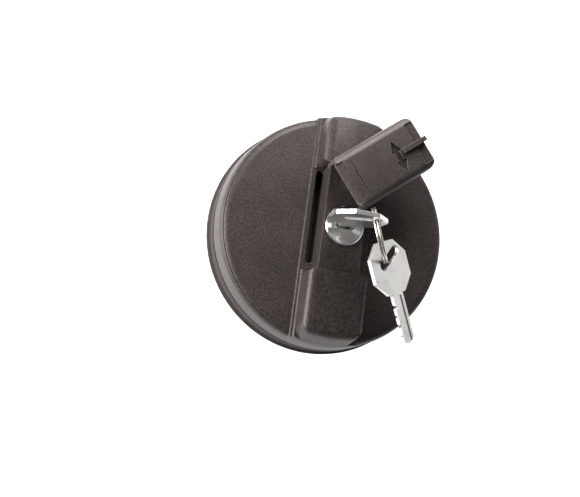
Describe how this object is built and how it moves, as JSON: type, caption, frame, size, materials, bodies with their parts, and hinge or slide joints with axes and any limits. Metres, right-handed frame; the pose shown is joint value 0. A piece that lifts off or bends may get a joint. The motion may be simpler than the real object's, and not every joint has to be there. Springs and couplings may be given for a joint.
{
  "type": "fuel filler cap",
  "caption": "Locking screw-in fuel filler cap with a handle bar, a key lock under a swivelling dust lid, and a freely turning shell over a threaded plug.",
  "frame": {"origin": "on the plug's axis, in the plane of the skirt's lower rim", "axes": "+Z points out of the filler neck, +Y along the handle bar towards the lid's pin, +X to the right"},
  "size_m": [0.118, 0.118, 0.1127],
  "materials": {
    "outer_shell": "fine-grained dark moulding",
    "retaining_ring": "sprung steel wire strip",
    "thrust_washer": "natural nylon",
    "threaded_plug": "black moulding",
    "drive_plate": "glass-filled moulding",
    "seal_ring": "soft black rubber",
    "seal_retainer": "light grey moulding",
    "vent_boss": "black moulding",
    "vent_valve": "natural acetal",
    "vent_spring": "drawn spring wire",
    "vent_cap": "black moulding",
    "lock_housing": "as-cast zinc alloy",
    "lock_cylinder": "turned brass",
    "lock_wafers": "stamped brass",
    "lock_face": "polished plating",
    "lock_cam": "as-cast zinc alloy",
    "cam_screw": "zinc-plated",
    "locking_bolt": "sintered steel",
    "bolt_guide": "zinc-plated sheet",
    "guide_screws": "zinc-plated",
    "lock_cover": "fine-grained dark moulding",
    "lid_pin": "ground steel",
    "lid_clip": "sprung steel",
    "lid_washer": "zinc-plated",
    "lid_spring": "drawn spring wire",
    "key_one": "nickel-plated",
    "key_ring": "nickel-plated spring wire",
    "key_two": "nickel-plated"
  },
  "bodies": {
    "plug": {"threaded_plug": "threaded_plug", "drive_plate": "drive_plate", "seal_ring": "seal_ring", "seal_retainer": "seal_retainer", "thrust_washer": "thrust_washer", "vent_boss": "vent_boss", "vent_cap": "vent_cap", "vent_spring": "vent_spring"},
    "valve": {"vent_valve": "vent_valve"},
    "cap": {"outer_shell": "outer_shell", "retaining_ring": "retaining_ring", "lock_housing": "lock_housing", "bolt_guide": "bolt_guide", "guide_screws": "guide_screws"},
    "lock": {"lock_cylinder": "lock_cylinder", "lock_face": "lock_face", "lock_wafers": "lock_wafers", "lock_cam": "lock_cam", "cam_screw": "cam_screw"},
    "bolt": {"locking_bolt": "locking_bolt"},
    "key": {"key_one": "key_one"},
    "ring": {"key_ring": "key_ring"},
    "spare": {"key_two": "key_two"},
    "lid": {"lock_cover": "lock_cover", "lid_pin": "lid_pin", "lid_clip": "lid_clip", "lid_washer": "lid_washer", "lid_spring": "lid_spring"}
  },
  "joints": [
    {"name": "cap_spin", "type": "hinge", "parent": "plug", "child": "cap", "pos_m": [0, 0, 0], "axis": [0, 0, 1], "continuous": true},
    {"name": "vent_valve_travel", "type": "slide", "parent": "plug", "child": "valve", "axis": [0, 0, 1], "range_m": [0, 0.0015], "stiffness_N_per_m": 150, "springref_m": -0.002, "deforming": ["vent_spring"]},
    {"name": "lid_swivel", "type": "hinge", "parent": "cap", "child": "lid", "pos_m": [0, 0.02, 0.0411], "axis": [0, 0, 1], "range_deg": [0, 54]},
    {"name": "lock_turn", "type": "hinge", "parent": "cap", "child": "lock", "pos_m": [0, 0, 0.0377], "axis": [0, 0, 1], "range_deg": [-60, 0]},
    {"name": "bolt_slide", "type": "slide", "parent": "cap", "child": "bolt", "axis": [0, -1, 0], "range_m": [0, 0.0041]},
    {"name": "key_withdraw", "type": "slide", "parent": "lock", "child": "key", "axis": [0, 0, 1], "range_m": [0, 0.024]},
    {"name": "ring_swing", "type": "hinge", "parent": "key", "child": "ring", "pos_m": [0.0054, 0, 0.06245], "axis": [0.8557, 0.3147, 0.4108], "range_deg": [-12, 4]},
    {"name": "key_two_swing", "type": "hinge", "parent": "ring", "child": "spare", "pos_m": [0.01617, -0.01632, 0.05251], "axis": [-0.3554, -0.2196, 0.9085], "range_deg": [-15, 20]}
  ],
  "couplings": [
    {"joint": "bolt_slide", "follows": "lock_turn", "m_per_rad": -0.0038197}
  ]
}
